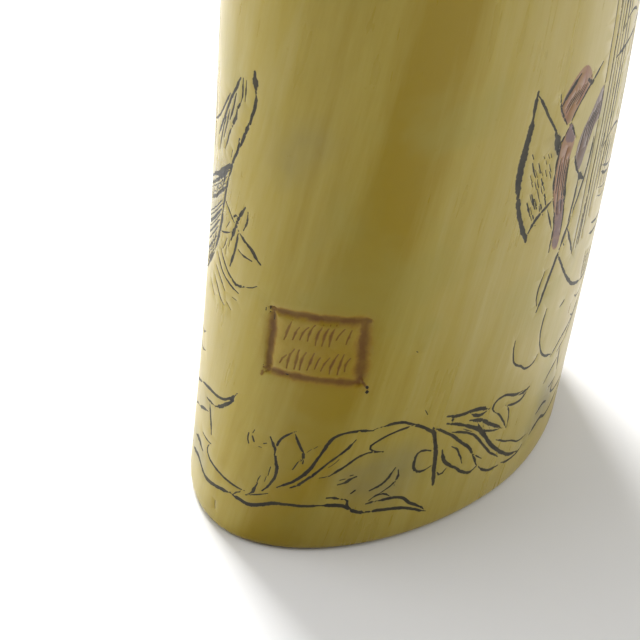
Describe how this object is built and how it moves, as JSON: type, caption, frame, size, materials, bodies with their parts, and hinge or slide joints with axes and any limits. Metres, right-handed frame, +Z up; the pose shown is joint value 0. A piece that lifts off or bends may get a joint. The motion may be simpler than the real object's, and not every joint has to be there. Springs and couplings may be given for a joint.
{
  "type": "scrimshaw whale tooth",
  "caption": "Upright whale tooth ornament with a flat foot, a bent oval taper to a blunt tip, engraved ships, a leaf garland and a sunken cartouche.",
  "frame": {"origin": "middle of the flat foot's outline, on the table", "axes": "+Z up out of the foot, X along the foot's long axis with the tip bending towards -X, Y across the foot's thickness with the broad sides facing -Y and +Y"},
  "size_m": [0.0797, 0.045, 0.154],
  "materials": {
    "resin": "satin, streaked mustard yellow casting resin with dark ink rubbed into the engraved lines"
  },
  "bodies": {
    "root": {"tooth": "resin"}
  },
  "joints": []
}
